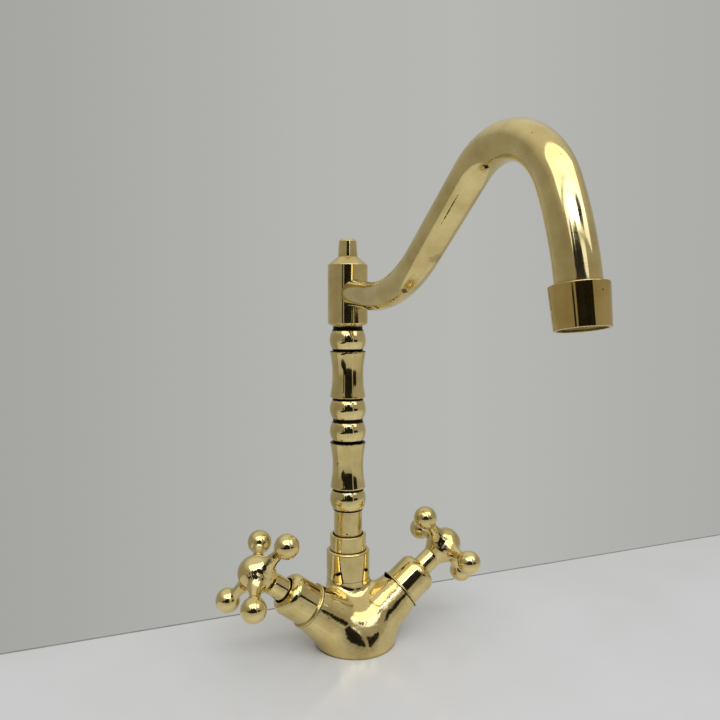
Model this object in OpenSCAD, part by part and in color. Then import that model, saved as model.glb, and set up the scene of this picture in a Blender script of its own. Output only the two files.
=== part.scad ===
// Single hole kitchen faucet in polished brass, with two cross handles,
// a turned column and a swan neck spout that swivels with the column.
// The origin is the centre of the foot's underside, with Z up and the spout towards -Y.

/* [Body] */
// Diameter of the foot that stands on the sink
foot_d = 57.6; // [54:0.2:62]
// Height of the foot's dome, where the arms grow out of it
foot_dome_h = 32; // [29:0.5:36]
// Slope of the two valve arms above the sink, in degrees
arm_angle = 37.5; // [35:0.1:41]
// Height at which the two arm axes cross over the foot's centre
arm_cross_z = 5.5; // [4:0.25:7]
// Distance from that crossing to each arm's end face
arm_reach = 46.5; // [45:0.25:50]
// Diameter of an arm at its end face
arm_end_d = 32.8; // [31:0.2:34]
// Diameter of an arm at its root inside the body
arm_root_d = 49; // [44:0.5:54]
// How far the column stands behind the foot's centre
column_back = 15; // [13:0.25:17]
// Height of the seam between the body and the swivel socket
neck_top_z = 45.6; // [44:0.2:49]
// Depth of the flare between the neck and the body
neck_flare_h = 24; // [20:0.5:27]

/* [Sink connections] */
// Thread core of the fixing stud's hole, for M8
stud_core_d = 6.8; // [6.6:0.1:7]
// Distance of the stud's hole behind the foot's centre
stud_back = 10.5; // [10:0.25:12]
// Thread core of each hose inlet, for M10 x 1
inlet_core_d = 9; // [8.8:0.1:9.2]
// Distance between the two hose inlets
inlet_pitch = 15.5; // [14.5:0.25:17]
// Distance of the inlets in front of the foot's centre
inlet_front = 6; // [5:0.25:8]
// Depth of the three threaded holes
thread_depth = 11; // [9:0.5:12]
// Inner diameter of the gasket set in the foot
gasket_bore_d = 44; // [42:0.5:46]
// Width of the gasket's ring
gasket_w = 3.5; // [3:0.25:4]
// Thickness of the gasket
gasket_t = 2; // [1.5:0.25:2.5]

/* [Swivel joint] */
// Outer diameter of the socket that screws on the neck
socket_d = 33.3; // [32.5:0.1:35]
// Height of the socket
socket_h = 21.4; // [21:0.2:25]
// Outer diameter of the gland nut above it
gland_d = 27.8; // [27:0.1:29.5]
// Visible height of the gland nut
gland_h = 11.8; // [10:0.2:14]
// Diameter of the riser where it turns in the socket
riser_d = 21.6; // [21:0.1:22.2]
// Bore of the riser
riser_bore_d = 11; // [9:0.25:11.5]
// Diameter of the flange that keeps the riser in
riser_flange_d = 24; // [23.6:0.1:24.6]
// Length of plain riser that shows above the gland nut
riser_show = 18.9; // [12:0.1:26]

/* [Column] */
// Diameter of the tie spigot inside the beads and spools
spigot_d = 15; // [14:0.25:16]
// Height of one bead
bead_h = 16.8; // [15:0.1:19]
// Widest diameter of a bead
bead_d = 27.6; // [26.5:0.1:29]
// Diameter of the narrow land at each end of a bead
bead_end_d = 22.6; // [22:0.1:23.4]
// Height of one spool
spool_h = 35.7; // [30:0.1:42]
// Diameter of a spool's rims
spool_rim_d = 27; // [26:0.1:28.4]
// Diameter of a spool's waist
spool_waist_d = 23.6; // [22.6:0.1:24.6]
// Height of the narrow ring under the spout head
neck_ring_h = 2.7; // [2:0.1:4]
// Diameter of that ring
neck_ring_d = 22.4; // [20:0.1:24]

/* [Spout head] */
// Diameter of the head
head_d = 30.2; // [29:0.1:32]
// Height of the head's straight part
head_h = 45; // [43:0.5:52]
// Height of the cone above it
cone_h = 6.2; // [5:0.2:8]
// Diameter of the cone's top
cone_top_d = 17.4; // [16.4:0.1:18.4]
// Height of the finial above the cone
finial_h = 13.2; // [10:0.2:17]
// Diameter of the finial at its foot
finial_d = 14.8; // [14:0.1:15.8]
// Diameter of the finial at its top
finial_top_d = 13.2; // [12:0.1:13.8]

/* [Spout] */
// Outer diameter of the spout tube
tube_d = 20; // [18.4:0.1:21]
// Wall of the spout tube
tube_wall = 1.2; // [1:0.1:1.8]
// Height of the spout's root above the head's lower edge
root_up = 24.4; // [23:0.2:27]
// Fall of the spout where it leaves the head, in degrees
root_fall = 5; // [0:0.5:6]
// Straight length from the column's axis to the first bend
root_run = 39.4; // [34:0.2:60]
// Centre line radius of the first bend
rise_bend_r = 112.5; // [90:0.5:130]
// Slope of the rising stretch, in degrees
rise_angle = 37; // [32:0.5:42]
// Length of the rising stretch
rise_run = 63.8; // [45:0.2:85]
// Centre line radius of the crown
crown_bend_r = 45; // [40:0.5:60]
// Slope at which the crown passes into the drop, in degrees
crown_exit = 67; // [60:0.5:72]
// Centre line radius of the drop's slow bend
drop_bend_r = 181; // [150:1:220]
// Lean of the outlet away from vertical, in degrees
outlet_lean = 9; // [4:0.5:12]
// Straight length above the outlet
drop_run = 3.8; // [3:0.2:60]

/* [Outlet] */
// Diameter of the outlet socket at its top
outlet_top_d = 25.6; // [25:0.1:27]
// Diameter of the outlet socket at its mouth
outlet_mouth_d = 23.9; // [23.4:0.1:25]
// Height of the outlet socket
outlet_h = 18.8; // [18:0.2:23]
// Diameter of the aerator's threaded shell
aerator_d = 20.8; // [20.2:0.1:21.4]
// Height of the aerator's shell
aerator_h = 9; // [8:0.2:10]
// How far the aerator sits above the mouth
aerator_recess = 1; // [0.6:0.1:1.5]

/* [Bonnets and valves] */
// Diameter of a bonnet's barrel
bonnet_d = 30.6; // [30:0.1:32.4]
// Diameter of the bonnet's foot rim
bonnet_rim_d = 34.2; // [33.4:0.1:36]
// Thickness of the foot rim
bonnet_rim_t = 1.8; // [1.2:0.1:2.6]
// Length of a bonnet from the arm's face to its outer end
bonnet_len = 24.5; // [24:0.25:29]
// Radius of the bonnet's outer shoulder
bonnet_round = 8; // [3:0.25:9]
// Diameter of the valve's threaded barrel
valve_d = 19; // [18:0.1:19.8]
// Depth of the barrel below the arm's face
valve_depth = 20.5; // [20:0.25:22]
// Width across the flats of the valve's hexagon
valve_hex_w = 22; // [21:0.25:22.5]
// Diameter of the valve's upper thread, which holds the bonnet
valve_top_d = 19.8; // [19:0.1:20.2]
// Diameter of the spindle
spindle_d = 9; // [8:0.1:9.4]
// Diameter of the spindle's splined end in the handle
spline_d = 8; // [7:0.1:8.4]

/* [Cross handles] */
// Distance from the arm axes' crossing to the plane of the four balls
ball_plane = 96; // [94:0.25:102]
// Distance from the handle's axis to each ball's centre
ball_reach = 32.6; // [30:0.1:36]
// Diameter of a ball
ball_d = 17.8; // [16:0.1:19]
// Diameter of the thin neck behind each ball
ball_neck_d = 8; // [7:0.1:9]
// Diameter of the hub's dome
dome_d = 24.6; // [23:0.1:26]
// Diameter of the hub behind the dome
hub_d = 23.2; // [22:0.1:24]
// Diameter of the handle's sleeve
sleeve_d = 16.4; // [15.4:0.1:17.4]
// Clear gap between the sleeve and the bonnet's hole
sleeve_gap = 0.9; // [0.5:0.1:1.2]
// Diameter of the grub screw
grub_d = 4; // [3:0.1:4.6]
// Turn of the hot handle about its axis when closed, in degrees
hot_turn = 60.3; // [0:0.1:90]
// Turn of the cold handle about its axis when closed, in degrees
cold_turn = 189.2; // [0:0.1:360]

/* [Fits] */
// Radial clearance between pieces that turn in each other
running_fit = 0.05; // [0.03:0.01:0.08]
// Radial clearance between pieces that are screwed or pressed together
seat_fit = 0.05; // [0.02:0.01:0.08]
// Gap between two faces that slide on each other
face_gap = 0.05; // [0.03:0.01:0.1]

/* [Hidden] */
$fn = 72;

brass = "#c8ab62";
dull_brass = "#a98f52";
rubber = "#26262a";
ceramic = "#ece7da";
steel = "#8f959c";
white = "#d8d8d4";

hot_side = -1;
cold_side = 1;

// Levels of the swivel joint, from the seam upwards
spigot_thread_d = 25;
spigot_thread_h = 6.9;
washer_t = 1;
flange_t = 2.3;
flange_z = neck_top_z + spigot_thread_h + washer_t + face_gap;
socket_step_z = flange_z + flange_t + face_gap;
socket_top_z = neck_top_z + socket_h;
socket_guide_h = 5;
packing_t = 3;
packing_z = socket_step_z + socket_guide_h;
gland_top_z = socket_top_z + gland_h;
gland_wall = 1.8;
gland_thread_d = riser_d + 2 * gland_wall;
riser_seal_w = 1.8;
groove_gap = 0.05;
gland_gap = 0.7;
riser_seal_z = socket_step_z + socket_guide_h / 2;

// Levels of the column, from the riser's shoulder upwards
stack_z = gland_top_z + riser_show;
lower_spool_z = stack_z + bead_h;
middle_low_z = lower_spool_z + spool_h;
middle_high_z = middle_low_z + bead_h;
upper_spool_z = middle_high_z + bead_h;
upper_bead_z = upper_spool_z + spool_h;
neck_ring_z = upper_bead_z + bead_h;
head_z = neck_ring_z + neck_ring_h;
head_thread_h = 11;
spool_lip = 1.6;

// The head's chamber and the finial's thread
head_top_z = head_z + head_h;
cone_top_z = head_top_z + cone_h;
chamber_d = 18;
finial_thread_d = 11;
finial_thread_h = 9;

// The spout's root and its stretches, each a straight run or a bend to the left or right
root_z = head_z + root_up;
crown_run = 3;
run_lap = 0.5;
bend_thinning = 0.02;
spout_path = [
    ["run", root_run],
    ["bend", rise_bend_r, root_fall + rise_angle],
    ["run", rise_run],
    ["bend", crown_bend_r, -(rise_angle + crown_exit)],
    ["run", crown_run],
    ["bend", drop_bend_r, -(90 - outlet_lean - crown_exit)],
    ["run", drop_run]
];

// The outlet, from its mouth upwards
socket_grip = 6;
tube_end = outlet_h - socket_grip;
shell_lip_t = 1.2;
shell_bore_d = aerator_d - 2;
screen_t = 0.8;
core_h = aerator_h - shell_lip_t - screen_t;
aerator_washer_t = 1;

// Levels along each valve's axis, from the crossing of the arm axes outwards
seat_seal_t = 2.5;
disc_t = 2.8;
gasket_face_t = 1.5;
hex_h = 6;
valve_foot = arm_reach - valve_depth;
seal_inset = 0.5;
seat_level = valve_foot - seat_seal_t + seal_inset;
fixed_disc_s = valve_foot + seal_inset;
moving_disc_s = fixed_disc_s + disc_t + face_gap;
driver_s = moving_disc_s + disc_t + face_gap;
driver_h = 6.5;
chamber_top_s = driver_s + driver_h + face_gap;
hex_s = arm_reach + gasket_face_t;
bonnet_end_s = arm_reach + bonnet_len;
bonnet_wall_t = 4;
valve_top_s = bonnet_end_s - bonnet_wall_t - 2;
circlip_t = 0.8;
sleeve_lap = 1.2;
sleeve_foot_s = bonnet_end_s - bonnet_wall_t + sleeve_lap;
hub_foot_back = 12.5;
hub_rim_back = 7.5;
dome_ahead = 1.7;
dome_lap = 4;
hub_foot_s = ball_plane - hub_foot_back;
hub_rim_s = ball_plane - hub_rim_back;
dome_s = ball_plane + dome_ahead;
spline_end_s = hub_foot_s + 0.5;
grub_back = 1;
grub_s = (bonnet_end_s + hub_foot_s) / 2 - grub_back;
ball_arm_root = 10;
ball_arm_swell = 3.8;
ball_neck_back = 10.7;
ball_fillet_lap = 0.15;
driver_gap = 4;
disc_chamber_d = valve_d - 2.2;
bonnet_bore_d = bonnet_d - 3.8;
spindle_ring_w = 1.2;
spindle_ring_up = 8;
spindle_ring_pitch = 4;
spindle_ring_levels = [
    chamber_top_s + spindle_ring_up,
    chamber_top_s + spindle_ring_up + spindle_ring_pitch
];
circlip_groove = 0.7;
circlip_mouth = 3;

// Where a run of stretches ends: forward, up and heading
function bend_end(r, a) = [r * sin(abs(a)), sign(a) * r * (1 - cos(abs(a))), a];
function stretch_end(s) = s[0] == "run" ? [s[1], 0, 0] : bend_end(s[1], s[2]);
function joined(p, q) = [
    p[0] + q[0] * cos(p[2]) - q[1] * sin(p[2]),
    p[1] + q[0] * sin(p[2]) + q[1] * cos(p[2]),
    p[2] + q[2]
];
function path_end(path, i = 0, at = [0, 0, 0]) =
    i == len(path) ? at : path_end(path, i + 1, joined(at, stretch_end(path[i])));
outlet_at = path_end(spout_path);

module ring(outer_d, inner_d, h) {
    difference() {
        cylinder(d = outer_d, h = h);
        translate([0, 0, -1]) cylinder(d = inner_d, h = h + 2);
    }
}

module o_ring(inner_d, section_d) {
    rotate_extrude() translate([(inner_d + section_d) / 2, 0]) circle(d = section_d, $fn = 36);
}

// The column's axis stands behind the foot's centre
module on_column(z = 0) {
    translate([0, column_back, z]) children();
}

// Z runs out along the arm's axis, from the crossing of the two arm axes
module on_arm(side) {
    translate([0, 0, arm_cross_z]) rotate([0, side * (90 - arm_angle), 0]) children();
}

// Straight drilling from one point to another
module drilling(from, to, d) {
    span = to - from;
    reach = norm(span);
    slope = acos(span[2] / reach);
    turn = atan2(span[1], span[0]);
    translate(from) rotate([0, slope, turn]) cylinder(d = d, h = reach);
}

// The body: foot dome, two tapering arms and the neck under the column
module neck_shape() {
    flare_r = neck_flare_h * 1.15;
    rotate_extrude() difference() {
        square([socket_d / 2 + 9, neck_top_z]);
        translate([socket_d / 2 + flare_r, neck_top_z - 1]) circle(r = flare_r, $fn = 120);
        translate([socket_d / 2, neck_top_z - 1]) square([12, 2]);
        translate([socket_d / 2 - 2, -1]) square([14, neck_top_z - neck_flare_h]);
    }
}

module arm_shape(side) {
    on_arm(side) cylinder(d1 = arm_root_d, d2 = arm_end_d, h = arm_reach);
}

module foot_shape() {
    dome_r = (pow(foot_d / 2, 2) + pow(foot_dome_h, 2)) / foot_d;
    round_r = max(dome_r, foot_dome_h);
    rotate_extrude() intersection() {
        translate([foot_d / 2 - round_r, 0]) circle(r = round_r, $fn = 120);
        square([foot_d / 2, foot_dome_h + 10]);
    }
}

module valve_chamber(side) {
    on_arm(side) {
        translate([0, 0, valve_foot]) cylinder(d = valve_d + 2 * seat_fit, h = valve_depth + 1);
        translate([0, 0, seat_level - 4]) cylinder(d = valve_d - 9, h = 10);
        translate([0, 0, seat_level]) cylinder(d = valve_d - 3, h = seat_seal_t);
    }
}

module water_ways() {
    inlet_way_d = 5;
    mix_way_d = 6;
    mix_z = neck_top_z - 20;
    well_z = mix_z - 8;
    on_column(well_z) cylinder(d = chamber_d - 2, h = neck_top_z + spigot_thread_h + 1 - well_z);
    for (side = [hot_side, cold_side]) {
        inlet_top = [side * inlet_pitch / 2, -inlet_front, thread_depth - 1];
        seat = [
            side * seat_level * cos(arm_angle), 0, arm_cross_z + seat_level * sin(arm_angle)
        ];
        port_s = driver_s + driver_h / 2;
        port = [side * port_s * cos(arm_angle), 0, arm_cross_z + port_s * sin(arm_angle)];
        drilling(inlet_top, seat, inlet_way_d);
        drilling([0, column_back, mix_z], port, mix_way_d);
    }
}

module sink_connections() {
    translate([0, stud_back, -1]) cylinder(d = stud_core_d, h = thread_depth + 1);
    for (side = [hot_side, cold_side])
        translate([side * inlet_pitch / 2, -inlet_front, -1])
            cylinder(d = inlet_core_d, h = thread_depth + 1);
    translate([0, 0, -1]) ring(gasket_bore_d + 2 * gasket_w, gasket_bore_d, gasket_t + 1);
}

module body_casting() {
    color(brass) difference() {
        union() {
            foot_shape();
            arm_shape(hot_side);
            arm_shape(cold_side);
            on_column() neck_shape();
            on_column(neck_top_z - 1) cylinder(d = spigot_thread_d, h = spigot_thread_h + 1);
        }
        translate([-foot_d, -foot_d, -foot_d]) cube([2 * foot_d, 2 * foot_d, foot_d]);
        valve_chamber(hot_side);
        valve_chamber(cold_side);
        water_ways();
        sink_connections();
    }
}

module base_gasket() {
    color(rubber) ring(gasket_bore_d + 2 * gasket_w - 2 * seat_fit, gasket_bore_d + 2 * seat_fit, gasket_t);
}

// The swivel joint: the riser's flange turns between the neck and the socket's step
module swivel_socket() {
    top_round = 1.6;
    inner = spigot_thread_d + 2 * seat_fit;
    color(brass) on_column() difference() {
        rotate_extrude() union() {
            translate([0, neck_top_z]) square([socket_d / 2, socket_h - top_round]);
            translate([0, neck_top_z]) square([socket_d / 2 - top_round, socket_h]);
            translate([socket_d / 2 - top_round, socket_top_z - top_round]) circle(r = top_round);
        }
        translate([0, 0, neck_top_z - 1]) cylinder(d = inner, h = socket_step_z - neck_top_z + 1);
        translate([0, 0, neck_top_z]) cylinder(d = riser_d + 2 * running_fit, h = socket_h + 1);
        translate([0, 0, packing_z]) cylinder(d = gland_thread_d, h = socket_h);
    }
}

module swivel_washer() {
    color(ceramic) on_column(neck_top_z + spigot_thread_h) ring(riser_flange_d, chamber_d, washer_t);
}

module packing_ring() {
    color(rubber) on_column(packing_z)
        ring(gland_thread_d - 2 * seat_fit, riser_d + 2 * running_fit, packing_t);
}

module gland_nut() {
    foot = packing_z + packing_t;
    edge = 0.6;
    color(brass) on_column() difference() {
        union() {
            translate([0, 0, foot]) cylinder(d = gland_thread_d - 2 * seat_fit, h = socket_top_z - foot + 1);
            translate([0, 0, socket_top_z]) cylinder(d = gland_d, h = gland_h - edge);
            translate([0, 0, gland_top_z - edge]) cylinder(d1 = gland_d, d2 = gland_d - 2 * edge, h = edge);
        }
        translate([0, 0, foot - 1]) cylinder(d = riser_d + 2 * gland_gap, h = gland_h + socket_h);
    }
}

module riser_tube() {
    spigot_top = head_z + head_thread_h;
    color(dull_brass) on_column() difference() {
        union() {
            translate([0, 0, flange_z]) cylinder(d = riser_flange_d, h = flange_t);
            translate([0, 0, flange_z]) cylinder(d = riser_d, h = stack_z - flange_z);
            translate([0, 0, stack_z - 1]) cylinder(d = spigot_d, h = spigot_top - stack_z + 1);
        }
        translate([0, 0, flange_z - 1]) cylinder(d = riser_bore_d, h = spigot_top - flange_z + 2);
        translate([0, 0, riser_seal_z - riser_seal_w / 2 - groove_gap])
            ring(riser_d + 4, riser_d - 2 * riser_seal_w, riser_seal_w + 2 * groove_gap);
    }
}

module riser_o_ring() {
    color(rubber) on_column(riser_seal_z) o_ring(riser_d - 2 * riser_seal_w, riser_seal_w);
}

// The turned beads and spools slide on the riser's spigot and are clamped by the head
module bead(z) {
    color(brass) on_column(z) difference() {
        union() {
            intersection() {
                translate([0, 0, bead_h / 2]) sphere(d = bead_d);
                cylinder(d = bead_d + 2, h = bead_h);
            }
            cylinder(d = bead_end_d, h = bead_h);
        }
        translate([0, 0, -1]) cylinder(d = spigot_d + 2 * seat_fit, h = bead_h + 2);
    }
}

module spool(z) {
    sag = (spool_rim_d - spool_waist_d) / 2;
    chord = spool_h - 2 * spool_lip;
    cove_r = (pow(chord / 2, 2) + pow(sag, 2)) / (2 * sag);
    bore_r = spigot_d / 2 + seat_fit;
    color(brass) on_column(z) rotate_extrude() difference() {
        translate([bore_r, 0]) square([spool_rim_d / 2 - bore_r, spool_h]);
        translate([spool_waist_d / 2 + cove_r, spool_h / 2]) circle(r = cove_r, $fn = 240);
        translate([spool_rim_d / 2, spool_h]) rotate(45) square(spool_lip * 0.7, center = true);
        translate([spool_rim_d / 2, 0]) rotate(45) square(spool_lip * 1.4, center = true);
    }
}

module lower_bead() { bead(stack_z); }
module lower_spool() { spool(lower_spool_z); }
module middle_bead_low() { bead(middle_low_z); }
module middle_bead_high() { bead(middle_high_z); }
module upper_spool() { spool(upper_spool_z); }
module upper_bead() { bead(upper_bead_z); }

// The spout's centre line lies in the plane through the column, with X forward and Y up
module on_spout_plane() {
    on_column(root_z) rotate([90, 0, -90]) rotate([0, 0, -root_fall]) children();
}

module tube_section(outer, inner) {
    difference() {
        circle(d = outer);
        circle(d = inner);
    }
}

// Bending thins the wall a little, so each straight run laps over the bends beside it
module run_of_tube(path, outer, inner, i = 0) {
    if (i < len(path)) {
        s = path[i];
        end = stretch_end(s);
        before = i == 0 ? 0 : run_lap;
        after = i == len(path) - 1 ? 0 : run_lap;
        if (s[0] == "run")
            translate([-before, 0, 0]) rotate([0, 90, 0]) linear_extrude(s[1] + before + after)
                tube_section(outer, inner);
        else
            mirror([0, s[2] < 0 ? 1 : 0, 0]) translate([0, s[1], 0]) rotate([0, 0, -90])
                rotate_extrude(angle = abs(s[2])) translate([s[1], 0])
                    tube_section(outer - 2 * bend_thinning, inner + 2 * bend_thinning);
        translate([end[0], end[1], 0]) rotate([0, 0, end[2]]) run_of_tube(path, outer, inner, i + 1);
    }
}

module spout_head() {
    edge = 1.5;
    color(brass) difference() {
        on_column() union() {
            translate([0, 0, neck_ring_z]) cylinder(d = neck_ring_d, h = neck_ring_h + 1);
            translate([0, 0, head_z]) cylinder(d1 = head_d - 2 * edge, d2 = head_d, h = edge);
            translate([0, 0, head_z + edge]) cylinder(d = head_d, h = head_h - edge);
            translate([0, 0, head_top_z]) cylinder(d1 = head_d, d2 = cone_top_d, h = cone_h - 1);
            translate([0, 0, cone_top_z - 1]) cylinder(d1 = cone_top_d, d2 = finial_d, h = 1);
        }
        on_column(neck_ring_z - 1)
            cylinder(d = spigot_d + 2 * seat_fit, h = neck_ring_h + head_thread_h + 2);
        on_column(head_z + head_thread_h + 1) cylinder(d = chamber_d, h = head_h - head_thread_h - 3);
        on_column(head_top_z - 3)
            cylinder(d = finial_thread_d + 2 * seat_fit, h = cone_h + 5);
        on_spout_plane() rotate([0, 90, 0]) cylinder(d = tube_d + 2 * seat_fit, h = head_d);
    }
}

module finial_plug() {
    top_round = 1.6;
    color(brass) on_column(cone_top_z) union() {
        translate([0, 0, -finial_thread_h]) cylinder(d = finial_thread_d, h = finial_thread_h + 1);
        cylinder(d1 = finial_d, d2 = finial_top_d, h = finial_h - top_round);
        translate([0, 0, finial_h - top_round])
            cylinder(d1 = finial_top_d, d2 = finial_top_d - 2 * top_round, h = top_round);
    }
}

module spout_tube() {
    inner = tube_d - 2 * tube_wall;
    color(brass) difference() {
        on_spout_plane() run_of_tube(spout_path, tube_d, inner);
        on_column(root_z - tube_d) cylinder(d = chamber_d + 2 * seat_fit, h = 2 * tube_d);
    }
}

// Z runs up along the outlet's axis, from the centre of the outlet socket's mouth
module on_outlet() {
    on_spout_plane() translate([outlet_at[0], outlet_at[1], 0]) rotate([0, 0, outlet_at[2]])
        rotate([0, -90, 0]) translate([0, 0, -tube_end]) children();
}

module outlet_socket() {
    edge = 0.4;
    washer_top = aerator_recess + aerator_h + aerator_washer_t;
    color(brass) on_outlet() difference() {
        union() {
            cylinder(d1 = outlet_mouth_d - 2 * edge, d2 = outlet_mouth_d, h = edge);
            translate([0, 0, edge])
                cylinder(d1 = outlet_mouth_d, d2 = outlet_top_d, h = outlet_h - 2 * edge);
            translate([0, 0, outlet_h - edge])
                cylinder(d1 = outlet_top_d, d2 = outlet_top_d - 2 * edge, h = edge);
        }
        translate([0, 0, tube_end]) cylinder(d = tube_d + 2 * seat_fit, h = outlet_h);
        translate([0, 0, -1]) cylinder(d = tube_d - 2 * tube_wall, h = outlet_h + 2);
        translate([0, 0, -1]) cylinder(d = aerator_d + 2 * seat_fit, h = washer_top + 1);
    }
}

module aerator_shell() {
    color(brass) on_outlet() translate([0, 0, aerator_recess]) difference() {
        cylinder(d = aerator_d, h = aerator_h);
        translate([0, 0, shell_lip_t]) cylinder(d = shell_bore_d, h = aerator_h);
        translate([0, 0, -1]) cylinder(d = shell_bore_d - 2, h = aerator_h);
    }
}

module aerator_core() {
    jet_d = 3;
    jet_circle_r = 5.4;
    color(white) on_outlet() translate([0, 0, aerator_recess + shell_lip_t]) difference() {
        cylinder(d = shell_bore_d - 2 * seat_fit, h = core_h);
        translate([0, 0, -1]) cylinder(d = jet_d, h = core_h + 2, $fn = 24);
        for (i = [0:5]) rotate(i * 60)
            translate([jet_circle_r, 0, -1]) cylinder(d = jet_d, h = core_h + 2, $fn = 24);
    }
}

module aerator_screen() {
    hole_d = 1.4;
    pitch = 2.6;
    color(steel) on_outlet() translate([0, 0, aerator_recess + shell_lip_t + core_h]) difference() {
        cylinder(d = shell_bore_d - 2 * seat_fit, h = screen_t);
        for (x = [-2:2], y = [-2:2])
            translate([x * pitch, y * pitch, -1]) cylinder(d = hole_d, h = screen_t + 2, $fn = 16);
    }
}

module aerator_washer() {
    color(rubber) on_outlet() translate([0, 0, aerator_recess + aerator_h])
        ring(aerator_d - 0.4, shell_bore_d - 3, aerator_washer_t);
}

// The bonnets cover the valves and are screwed on their upper threads
module bonnet(side) {
    color(brass) on_arm(side) difference() {
        rotate_extrude() union() {
            translate([0, arm_reach]) square([bonnet_rim_d / 2, bonnet_rim_t]);
            translate([0, arm_reach]) square([bonnet_d / 2, bonnet_len - bonnet_round]);
            translate([0, arm_reach]) square([bonnet_d / 2 - bonnet_round, bonnet_len]);
            translate([bonnet_d / 2 - bonnet_round, bonnet_end_s - bonnet_round]) intersection() {
                circle(r = bonnet_round);
                square(bonnet_round);
            }
        }
        translate([0, 0, arm_reach - 1])
            cylinder(d = bonnet_bore_d, h = hex_h + gasket_face_t + 2.5);
        translate([0, 0, arm_reach])
            cylinder(d = valve_top_d + 2 * seat_fit, h = bonnet_len - bonnet_wall_t);
        translate([0, 0, arm_reach]) cylinder(d = sleeve_d + 2 * sleeve_gap, h = bonnet_len + 1);
    }
}

module valve_body(side) {
    color(dull_brass) on_arm(side) difference() {
        union() {
            translate([0, 0, valve_foot]) cylinder(d = valve_d, h = hex_s - valve_foot + 1);
            translate([0, 0, hex_s]) cylinder(d = valve_hex_w / cos(30), h = hex_h, $fn = 6);
            translate([0, 0, hex_s]) cylinder(d = valve_top_d, h = valve_top_s - hex_s);
        }
        translate([0, 0, valve_foot - 1]) cylinder(d = disc_chamber_d, h = chamber_top_s - valve_foot + 1);
        translate([0, 0, valve_foot]) cylinder(d = spindle_d + 2 * running_fit, h = valve_top_s);
        for (a = [0, 180]) translate([0, 0, driver_s + driver_h / 2]) rotate([90, 0, a])
            cylinder(d = 5, h = valve_d);
    }
}

module valve_gasket(side) {
    color(rubber) on_arm(side) translate([0, 0, arm_reach])
        ring(valve_hex_w - 0.6, valve_d + 2 * seat_fit, gasket_face_t);
}

module seat_seal(side) {
    color(rubber) on_arm(side) translate([0, 0, seat_level])
        ring(valve_d - 3 - 2 * seat_fit, valve_d - 9, seat_seal_t);
}

module disc_ports(turn) {
    for (a = [turn, turn + 180]) rotate(a)
        translate([disc_chamber_d / 4, 0, -1]) cylinder(d = 4.5, h = disc_t + 2);
}

module fixed_disc(side) {
    color(ceramic) on_arm(side) translate([0, 0, fixed_disc_s]) difference() {
        cylinder(d = disc_chamber_d - 2 * seat_fit, h = disc_t);
        disc_ports(0);
    }
}

module moving_disc(side) {
    color(ceramic) on_arm(side) translate([0, 0, moving_disc_s]) difference() {
        cylinder(d = disc_chamber_d - 2 * running_fit, h = disc_t);
        disc_ports(90);
    }
}

module spindle(side) {
    groove_d = spindle_d - 2 * spindle_ring_w;
    color(dull_brass) on_arm(side) difference() {
        union() {
            translate([0, 0, driver_s]) cylinder(d = disc_chamber_d - driver_gap, h = driver_h);
            translate([0, 0, driver_s]) cylinder(d = spindle_d, h = sleeve_foot_s - driver_s);
            translate([0, 0, driver_s]) cylinder(d = spline_d, h = spline_end_s - driver_s);
        }
        for (s = spindle_ring_levels)
            translate([0, 0, s - spindle_ring_w / 2 - groove_gap])
                ring(spindle_d + 4, groove_d, spindle_ring_w + 2 * groove_gap);
        translate([0, 0, valve_top_s + face_gap])
            ring(spindle_d + 4, spindle_d - 2 * circlip_groove, circlip_t + 2 * face_gap);
    }
}

module spindle_rings(side) {
    color(rubber) on_arm(side) for (s = spindle_ring_levels)
        translate([0, 0, s]) o_ring(spindle_d - 2 * spindle_ring_w, spindle_ring_w);
}

module circlip(side) {
    color(steel) on_arm(side) translate([0, 0, valve_top_s + 2 * face_gap]) difference() {
        ring(spindle_d + 3.6, spindle_d - 2 * circlip_groove + 2 * seat_fit, circlip_t);
        translate([0, -circlip_mouth / 2, -1]) cube([spindle_d, circlip_mouth, circlip_t + 2]);
    }
}

// The cast cross handle: sleeve, bell shaped hub and four arms that end in balls
module ball_arm() {
    neck_at = ball_reach - ball_neck_back;
    neck_r = ball_neck_d / 2;
    ball_r = ball_d / 2;
    cove_r = (pow(neck_at - ball_arm_root, 2) + pow(ball_arm_swell, 2)) / (2 * ball_arm_swell);
    // The fillet behind the ball is a little wider than one that just touches it
    gap = ball_reach - neck_at;
    fillet_r = 1.1 * (pow(gap, 2) + pow(neck_r, 2) - pow(ball_r, 2)) / (2 * (ball_r - neck_r));
    centre_r = neck_r + fillet_r;
    far = norm([gap, centre_r]);
    half_lens = acos((pow(ball_r, 2) + pow(far, 2) - pow(fillet_r, 2)) / (2 * ball_r * far));
    fillet_w = ball_r * sin(atan2(centre_r, -gap) + half_lens) + ball_fillet_lap;
    rotate([0, 90, 0]) rotate_extrude() {
        difference() {
            square([neck_r + ball_arm_swell, neck_at]);
            translate([neck_r + cove_r, neck_at]) circle(r = cove_r, $fn = 160);
        }
        difference() {
            translate([0, neck_at]) square([fillet_w, gap - 1]);
            translate([centre_r, neck_at]) circle(r = fillet_r, $fn = 96);
        }
    }
    translate([ball_reach, 0, 0]) sphere(d = ball_d);
}

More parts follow.
